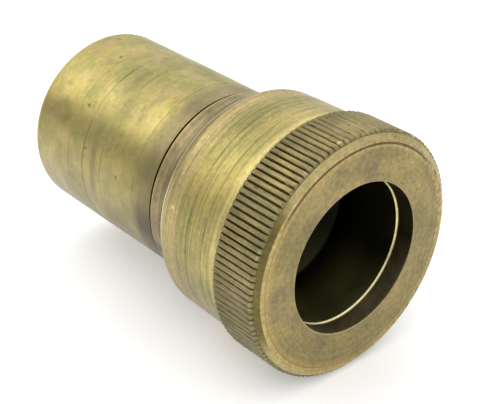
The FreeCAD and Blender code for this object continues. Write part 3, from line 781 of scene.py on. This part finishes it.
class NOZZLE_OT_barrel(bpy.types.Operator):
    """Build the barrel with its inlet thread"""

    bl_idname = "nozzle.barrel"
    bl_label = "Barrel"

    def execute(self, context):
        sizes = context.scene.nozzle_sizes
        material = barrel_brass()
        start, end, radius = span("inlet_barrel")
        washer_start, _, washer_r = span("hose_washer")
        _, web_start, _ = span("strainer_ring")
        web_end = span("neck_gasket")[0]
        neck_r = span("neck_tube")[2]
        bumper_start, _, bumper_r = span("bumper_ring")
        bumper_wall = radius - bumper_r
        groove_r = washer_r + 0.1
        root = sizes.inlet_root / MM
        way = sizes.waterway / MM
        barrel = turned("barrel_shell", [
            (start, radius, 0.7),
            (end, radius, 0.16),
            (end, bumper_r, 0.05),
            (bumper_start, bumper_r, 0),
            (bumper_start, neck_r + bumper_wall, 0),
            (end, neck_r + bumper_wall, 0.05),
            (end, neck_r, 0.1),
            (web_end, neck_r, 0),
            (web_end, way, 0.15),
            (web_start, way, 0.3),
            (web_start, groove_r, 0.2),
            (washer_start - 1.0, groove_r, 0.1),
            (washer_start - 1.0, root, 0.1),
            (start + 0.5, root, 0.1),
            (start, root + 0.5, 0.12),
        ], material, segments=256, step=1.2, wear=handled)
        place(barrel, "barrel", "barrel_brass", "inlet_barrel")
        thread = grown("inlet_thread_ridge", thread_tree(), {
            "Starts": 1,
            "Radius": (sizes.inlet_root + sizes.inlet_crest) / 2 + 0.04 * MM,
            "Height": sizes.inlet_root - sizes.inlet_crest + 0.08 * MM,
            "Inner Width": sizes.inlet_pitch * 0.24,
            "Outer Width": sizes.inlet_pitch * 0.92,
            "Lead": sizes.inlet_pitch,
            "Start": (start + 1.4) * MM,
            "Length": (washer_start - 3.6) * MM,
        }, material)
        place(thread, "barrel", "barrel_brass")
        return {"FINISHED"}


def handled(x, r, angle):
    """Slight waviness that years of knocks leave on a thin tube, always inwards."""
    spot = Vector((x / 9, 1.6 * math.cos(angle), 1.6 * math.sin(angle)))
    return x, r - 0.03 * (1 + noise.noise(spot))


class NOZZLE_OT_neck(bpy.types.Operator):
    """Build the neck with its three-start thread, and its stop ring"""

    bl_idname = "nozzle.neck"
    bl_label = "Neck and stop ring"

    def execute(self, context):
        sizes = context.scene.nozzle_sizes
        # Turned brass inside the water's path: clean gold with faint lathe lines.
        brass = plain_finish("turned_brass_valve", "#B79C58", 1.0, 0.32, 0.10, 0.14, 0.01)
        start, end, radius = span("neck_tube")
        stop_start, stop_end, stop_r = span("stop_ring")
        bore = radius - 2.0
        root = sizes.neck_root / MM
        thread_start = span("inlet_barrel")[1] - 1.0
        neck = turned("neck_core", [
            (start, bore, 0.1),
            (end, bore, 0.25),
            (end, radius, 0.3),
            (stop_end, radius, 0.05),
            (stop_end, stop_r - 2.3, 0),
            (stop_start, stop_r - 2.3, 0),
            (stop_start, radius, 0.05),
            (stop_start - 1.0, radius, 0.1),
            (stop_start - 1.6, root, 0.2),
            (thread_start, root, 0.2),
            (thread_start - 0.6, radius, 0.1),
            (start, radius, 0.2),
        ], brass, segments=192, step=2.0)
        place(neck, "barrel", "valve_brass", "neck_tube")
        pitch = sizes.neck_lead / sizes.neck_starts
        thread = grown("neck_thread_ridges", thread_tree(), {
            "Starts": sizes.neck_starts,
            "Radius": (sizes.neck_root + radius * MM) / 2 - 0.03 * MM,
            "Height": radius * MM - sizes.neck_root + 0.06 * MM,
            "Inner Width": pitch * 0.82,
            "Outer Width": pitch * 0.36,
            "Lead": sizes.neck_lead,
            "Start": (thread_start + 0.2) * MM,
            "Length": (stop_start - 1.8 - thread_start) * MM,
        }, brass)
        place(thread, "barrel", "valve_brass")
        # Stamped stainless sheet and wire: cold grey with a fine grain, so it stands out from the brass.
        spring = plain_finish("stamped_stainless", "#B8B8B4", 1.0, 0.30, 0.08, 0.10, 0.008)
        gap = sizes.clip_gap / 2 / MM / stop_r / TURN
        clip = turned("stop_clip", [
            (stop_start, stop_r - 2.3, 0.1),
            (stop_end, stop_r - 2.3, 0.1),
            (stop_end, stop_r, 0.15),
            (stop_start, stop_r, 0.15),
        ], spring, segments=120, arc=(0.75 + gap, 1.75 - gap))
        place(clip, "barrel", "stainless", "stop_ring")
        return {"FINISHED"}


class NOZZLE_OT_head(bpy.types.Operator):
    """Build the turning head sleeve"""

    bl_idname = "nozzle.head"
    bl_label = "Head sleeve"

    def execute(self, context):
        sizes = context.scene.nozzle_sizes
        start, end, radius = span("head_sleeve")
        ring_start, _, _ = span("knurled_ring")
        chamber = span("stop_ring")[2] + 0.3
        thread_end = sizes.thread_end / MM
        spigot = span("flow_tube")[2] + 0.3
        collar = sizes.collar_radius / MM
        shoulder = sizes.shoulder_radius / MM
        collar_end = start + sizes.collar_length / MM
        bore = span("neck_tube")[2] + 0.05
        head = turned("head_shell", [
            (start, bore, 0.3),
            (start, collar, 0.14),
            (collar_end, collar, 0.12),
            (collar_end, shoulder, 0.06),
            (collar_end + 0.40, shoulder + 0.16, 0.15),
            (collar_end + 1.9, radius - 0.3, sizes.shoulder_round / MM),
            (ring_start, radius, 0.1),
            (ring_start, spigot, 0.1),
            (end, spigot, 0.2),
            (end, chamber, 0.2),
            (thread_end, chamber, 0.1),
            (thread_end, bore, 0.2),
        ], head_brass(), segments=256, step=1.2, wear=handled)
        place(head, "head", "head_brass", "head_sleeve")
        return {"FINISHED"}


class NOZZLE_OT_grip_ring(bpy.types.Operator):
    """Build the knurled ring with its bevel and outlet face"""

    bl_idname = "nozzle.grip_ring"
    bl_label = "Knurled ring"

    def execute(self, context):
        sizes = context.scene.nozzle_sizes
        start, end, radius = span("knurled_ring")
        root = sizes.ridge_root / MM
        bore = sizes.face_bore / MM
        inner = span("flow_tube")[2] + 0.3
        face_back = span("flow_tube")[1] + 0.05
        rim = radius - 1.55
        crease = radius - 2.1
        core = turned("ring_core", [
            (start, inner, 0.1),
            (start, root - 0.03, 0.15),
            (end - sizes.bevel_length / MM - 0.1, root - 0.03, 0),
            (end - sizes.bevel_length / MM + 0.1, root, 0.2),
            (end, rim, 0.45),
            (end, crease + 0.13, 0),
            (end, crease, 0),
            (end, crease - 0.13, 0),
            (end, bore, 0.22),
            (face_back, bore, 0.1),
            (face_back, inner, 0.1),
        ], face_brass(), segments=480, step=0.5, wear=knocked(end, crease))
        place(core, "head", "knurl_brass", "knurled_ring")
        ridges = grown("knurl_ridges", knurl_tree(), {
            "Count": sizes.ridge_count,
            "Root": sizes.ridge_root,
            "Height": radius * MM - sizes.ridge_root - 0.01 * MM,
            "Width": TURN * sizes.ridge_root / sizes.ridge_count * 0.96,
            "Start": start * MM,
            "Length": (end - start) * MM - sizes.bevel_length,
            "Runout": sizes.ridge_runout,
            "Nick": sizes.ridge_nick,
            "Seed": 4.0,
        }, knurl_brass())
        place(ridges, "head", "knurl_brass")
        return {"FINISHED"}


def knocked(face, crease):
    """Wear for the outlet face at x = face: a crease over its upper part, a ragged rim and small dents."""
    def wear(x, r, angle):
        if x < face - 0.5 or r < 14.3:
            return x, r
        spot = Vector((x, r * math.cos(angle), r * math.sin(angle)))
        hit = max(0.0, noise.noise(spot * 0.9) - 0.35) * 0.5 + max(0.0, noise.noise(spot * 2.6) - 0.45) * 0.3
        rim = max(0.0, 1 - abs(r - crease - 0.45) / 0.6) * (0.5 + 0.5 * noise.noise(spot * 1.7)) * 0.14
        upper = max(0.0, math.sin(angle) - 0.6) / 0.4
        cut = max(0.0, 1 - abs(r - crease) / 0.12) * min(1.0, 2 * upper) * 0.05
        return x - hit * 0.45 - rim - cut, r
    return wear


class NOZZLE_OT_flow_tube(bpy.types.Operator):
    """Build the keyed flow tube and its lip"""

    bl_idname = "nozzle.flow_tube"
    bl_label = "Flow tube"

    def execute(self, context):
        sizes = context.scene.nozzle_sizes
        start, end, flange_r = span("flow_tube")
        bore = sizes.outlet_bore / MM
        neck_end = span("neck_tube")[1]
        shoulder = neck_end + 0.6
        spigot = span("neck_tube")[2] - 2.05
        seat = span("valve_seal")[2] - 1.0
        flange_back = span("rear_thrust_washer")[1]
        flange_front = span("front_thrust_washer")[0]
        outer = span("stop_ring")[2]
        head_end = span("head_sleeve")[1]
        tube = turned("flow_tube_shell", [
            (start, seat, 0.08),
            (shoulder, seat, 0.5),
            (shoulder + 3.4, bore, 0.8),
            (end - 0.4, bore, 0.04),
            (end, bore + 0.4, 0.05),
            (end, bore + 1.05, 0.1),
            (flange_front, bore + 1.05, 0.05),
            (flange_front, flange_r, 0.1),
            (flange_back, flange_r, 0.1),
            (flange_back, outer, 0.1),
            (head_end - 0.3, outer, 0.1),
            (head_end - 0.3, outer + 0.25, 0.1),
            (head_end - 4.3, outer + 0.25, 0.1),
            (head_end - 4.3, outer, 0.1),
            (shoulder, outer, 0.2),
            (shoulder, spigot, 0.2),
            (start + 3.4, spigot, 0.05),
            (start + 3.4, spigot - 1.5, 0.1),
            (start + 1.2, spigot - 1.5, 0.1),
            (start + 1.2, spigot, 0.05),
            (start + 1.0, spigot, 0.1),
            (start, seat + 0.5, 0.05),
        ], bore_brass(), segments=256, step=1.5)
        place(tube, "flow_tube", "tube_brass", "flow_tube")
        return {"FINISHED"}


class NOZZLE_OT_valve(bpy.types.Operator):
    """Build the valve head and its cap nut, and dress the stem, nut and spider"""

    bl_idname = "nozzle.valve"
    bl_label = "Valve"

    def execute(self, context):
        brass = bpy.data.materials["turned_brass_valve"]
        steel = bpy.data.materials["stamped_stainless"]
        back, front, radius = span("valve_head")
        stem = 2.0
        head = turned("valve_disc", [
            (back, stem, 0),
            (front, stem, 0),
            (front, radius, 0.15),
            (front - 2.4, radius, 0.5),
            (back, 3.6, 0.3),
        ], brass, segments=160)
        place(head, "barrel", "valve_brass", "valve_head")
        back, front, radius = span("cap_nut")
        dome = [(back + 1.4 + (front - back - 1.4) * math.sin(a), radius * math.cos(a), 0)
                for a in (math.radians(d) for d in range(10, 87, 8))]
        cap = turned("cap_dome", [
            (back, 0.01, 0),
            (back, radius, 0.15),
            (back + 1.4, radius, 0),
            *dome,
            (front, 0.01, 0),
        ], brass, segments=128)
        place(cap, "barrel", "valve_brass", "cap_nut")
        dress("spider", brass)
        for name in ("valve_stem", "lock_washer", "stem_nut", "guide_key"):
            dress(name, steel)
        return {"FINISHED"}


class NOZZLE_OT_strainer(bpy.types.Operator):
    """Build the perforated strainer and dress its ring"""

    bl_idname = "nozzle.strainer"
    bl_label = "Strainer"

    def execute(self, context):
        sizes = context.scene.nozzle_sizes
        steel = bpy.data.materials["stamped_stainless"]
        start, end, radius = span("strainer_disc")
        disc = grown("strainer_sheet", strainer_tree(STRAINER_RINGS), {
            "Radius": radius * MM,
            "Thickness": (end - start) * MM,
            "Pitch": sizes.strainer_pitch,
            "Hole": sizes.strainer_hole,
            "Start": (start + end) / 2 * MM,
        }, steel)
        place(disc, "barrel", "stainless", "strainer_disc")
        dress("strainer_ring", steel)
        return {"FINISHED"}


class NOZZLE_OT_seals(bpy.types.Operator):
    """Build the washers, gaskets, O-ring and thrust washers"""

    bl_idname = "nozzle.seals"
    bl_label = "Seals and washers"

    def execute(self, context):
        # Moulded rubber: a matt black line in the seam, with a grain that only breaks up its shine.
        rubber = plain_finish("moulded_rubber", "#1B1B1A", 0.0, 0.62, 0.35, 0.25, 0.02)
        # Vulcanised fibre: dull red-brown, clouded by its paper layers.
        fibre = plain_finish("vulcanised_fibre", "#6E2A1C", 0.0, 0.55, 0.30, 0.20, 0.02)
        # Cut PTFE sheet: waxy off-white with hardly any grain.
        ptfe = plain_finish("cut_ptfe_sheet", "#DAD8CF", 0.0, 0.40, 0.50, 0.05, 0.01)
        # Name, CAD node, inner radius and edge rounding in mm, material, slot, body.
        rings = [
            ("hose_seal", "hose_washer", 11.8, 0.45, rubber, "black_rubber", "barrel"),
            ("bumper_band", "bumper_ring", 15.24, 0.12, rubber, "black_rubber", "barrel"),
            ("neck_seal", "neck_gasket", 11.6, 0.1, fibre, "red_fibre", "barrel"),
            ("valve_washer", "valve_seal", 2.0, 0.25, rubber, "black_rubber", "barrel"),
            ("rear_slip_ring", "rear_thrust_washer", 16.0, 0.1, ptfe, "white_ptfe", "flow_tube"),
            ("front_slip_ring", "front_thrust_washer", 15.0, 0.1, ptfe, "white_ptfe", "flow_tube"),
        ]
        for name, source, inner, fillet, material, slot, body in rings:
            start, end, outer = span(source)
            ring = turned(name, [
                (start, inner, fillet), (end, inner, fillet), (end, outer, fillet), (start, outer, fillet),
            ], material, segments=160, step=1.0)
            place(ring, body, slot, source)
        start, end, outer = span("tube_o_ring")
        section = (end - start) / 2
        circle = [((start + end) / 2 + section * math.cos(a), outer - section + section * math.sin(a), 0)
                  for a in (TURN * k / 24 for k in range(24))]
        cord = turned("tube_seal", circle, rubber, segments=160)
        place(cord, "flow_tube", "black_rubber", "tube_o_ring")
        return {"FINISHED"}


# Studio

class NozzleStudio(bpy.types.PropertyGroup):
    azimuth: FloatProperty(name="Camera azimuth", description="0 looks along +Y",
                           default=math.radians(49.745), subtype="ANGLE")
    elevation: FloatProperty(name="Camera elevation", description="Height above the horizon",
                             default=math.radians(29.69), subtype="ANGLE")
    distance: FloatProperty(name="Camera distance", description="Camera to the point it is aimed at",
                            default=0.2056, unit="LENGTH")
    aim: FloatVectorProperty(name="Camera aim", description="Point at the middle of the view",
                             default=(0.05564, -0.01194, 0.00837), subtype="TRANSLATION")
    lens: FloatProperty(name="Lens", description="Focal length on a 36 mm sensor, in mm", default=91.1)
    key: FloatProperty(name="Key light", description="Power of the overhead softbox in watts", default=0.30)
    sky: FloatProperty(name="Sky", description="Brightness of the studio's walls and ceiling", default=1.0)


class NOZZLE_OT_studio(bpy.types.Operator):
    """Build the floor, the lights and the camera"""

    bl_idname = "nozzle.studio"
    bl_label = "Studio"

    def execute(self, context):
        studio = context.scene.nozzle_studio
        build_camera(context, studio)
        build_floor(context)
        build_lights(context, studio)
        return {"FINISHED"}


def build_camera(context, studio):
    """Camera at the viewing angle, aimed at a named point."""
    a, e = studio.azimuth, studio.elevation
    forward = Vector((-math.sin(a) * math.cos(e), math.cos(a) * math.cos(e), -math.sin(e)))
    data = bpy.data.cameras.new("camera")
    data.lens = studio.lens
    data.sensor_width = 36
    data.clip_start = 0.01
    camera = bpy.data.objects.new("camera", data)
    camera.location = Vector(studio.aim) - forward * studio.distance
    camera.rotation_euler = forward.to_track_quat("-Z", "Y").to_euler()
    context.scene.collection.objects.link(camera)
    context.scene.camera = camera


def build_floor(context):
    """Floor of matt white paper under the nozzle: it takes the soft shadow and hardly any colour."""
    material, tree, shader = material_named("white_paper")
    plain = node(tree, "ShaderNodeTexCoord").outputs["Object"]
    grain = cloud(tree, plain, 40.0, 40.0, 3.0, 0.2, 0.8, 1.0)
    shade = mark(tree, linear("#F8F8F7"), "#FCFCFB", 1.0, grain)
    tree.links.new(shade, shader.inputs["Base Color"])
    shader.inputs["Roughness"].default_value = 0.85
    shader.inputs["Emission Color"].default_value = (1.0, 1.0, 1.0, 1.0)
    shader.inputs["Emission Strength"].default_value = 0.22
    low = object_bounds()[0][2]
    reach = 6.0
    mesh = bpy.data.meshes.new("floor")
    mesh.from_pydata([(-reach, -reach, low), (reach, -reach, low), (reach, reach, low), (-reach, reach, low)],
                     [], [(0, 1, 2, 3)])
    mesh.materials.append(material)
    floor = bpy.data.objects.new("floor", mesh)
    context.scene.collection.objects.link(floor)
    floor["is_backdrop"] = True


def build_lights(context, studio):
    """Bright ceiling that darkens towards the horizon, an overhead softbox and a weak fill."""
    world = bpy.data.worlds.new("studio")
    world.use_nodes = True
    tree = world.node_tree
    tree.nodes.clear()
    direction = node(tree, "ShaderNodeTexCoord")
    axes = node(tree, "ShaderNodeSeparateXYZ", {0: direction.outputs["Generated"]})
    ramp = node(tree, "ShaderNodeValToRGB", {0: axes.outputs[2]})
    stops = ramp.color_ramp.elements
    stops[0].position, stops[0].color = 0.0, (0.12, 0.12, 0.12, 1)
    stops[1].position, stops[1].color = 1.0, (1.15, 1.15, 1.15, 1)
    for height, level in ((0.10, 0.20), (0.26, 0.85), (0.45, 1.15), (0.70, 1.20)):
        stops.new(height).color = (level, level, level, 1)
    background = node(tree, "ShaderNodeBackground", {0: ramp.outputs[0], 1: studio.sky})
    node(tree, "ShaderNodeOutputWorld", {0: background.outputs[0]})
    context.scene.world = world
    for name, power, spread, spot in (
        ("softbox", studio.key, 0.30, Vector((-0.28, -0.17, 0.34))),
        ("fill", 0.9 * studio.key, 0.45, Vector((-0.22, 0.42, 0.30))),
    ):
        data = bpy.data.lights.new(name, "AREA")
        data.energy = power
        data.size = spread
        lamp = bpy.data.objects.new(name, data)
        lamp.location = spot
        lamp.rotation_euler = (Vector((0.04, 0, 0)) - spot).to_track_quat("-Z", "Y").to_euler()
        context.scene.collection.objects.link(lamp)
    context.scene.view_settings.view_transform = "Standard"


PIECES = (
    NOZZLE_OT_studio,
    NOZZLE_OT_barrel,
    NOZZLE_OT_neck,
    NOZZLE_OT_head,
    NOZZLE_OT_grip_ring,
    NOZZLE_OT_flow_tube,
    NOZZLE_OT_valve,
    NOZZLE_OT_strainer,
    NOZZLE_OT_seals,
)


class NOZZLE_PT_panel(bpy.types.Panel):
    """Sidebar list of the nozzle's pieces"""

    bl_idname = "NOZZLE_PT_panel"
    bl_label = "Fire Hose Nozzle"
    bl_space_type = "VIEW_3D"
    bl_region_type = "UI"
    bl_category = "Nozzle"

    def draw(self, context):
        for piece in PIECES:
            self.layout.operator(piece.bl_idname)
        for group in (context.scene.nozzle_sizes, context.scene.nozzle_colours, context.scene.nozzle_studio):
            for name in group.bl_rna.properties.keys():
                if name not in ("rna_type", "name"):
                    self.layout.prop(group, name)


GROUPS = {"nozzle_sizes": NozzleSizes, "nozzle_colours": NozzleColours, "nozzle_studio": NozzleStudio}


def register():
    for group in GROUPS.values():
        bpy.utils.register_class(group)
    for item in (*PIECES, NOZZLE_PT_panel):
        bpy.utils.register_class(item)
    for name, group in GROUPS.items():
        setattr(bpy.types.Scene, name, PointerProperty(type=group))


def unregister():
    for name in GROUPS:
        delattr(bpy.types.Scene, name)
    for item in (*PIECES, NOZZLE_PT_panel):
        bpy.utils.unregister_class(item)
    for group in GROUPS.values():
        bpy.utils.unregister_class(group)


def main():
    register()
    for piece in PIECES:
        group, name = piece.bl_idname.split(".")
        getattr(getattr(bpy.ops, group), name)()


if __name__ == "__main__":
    main()
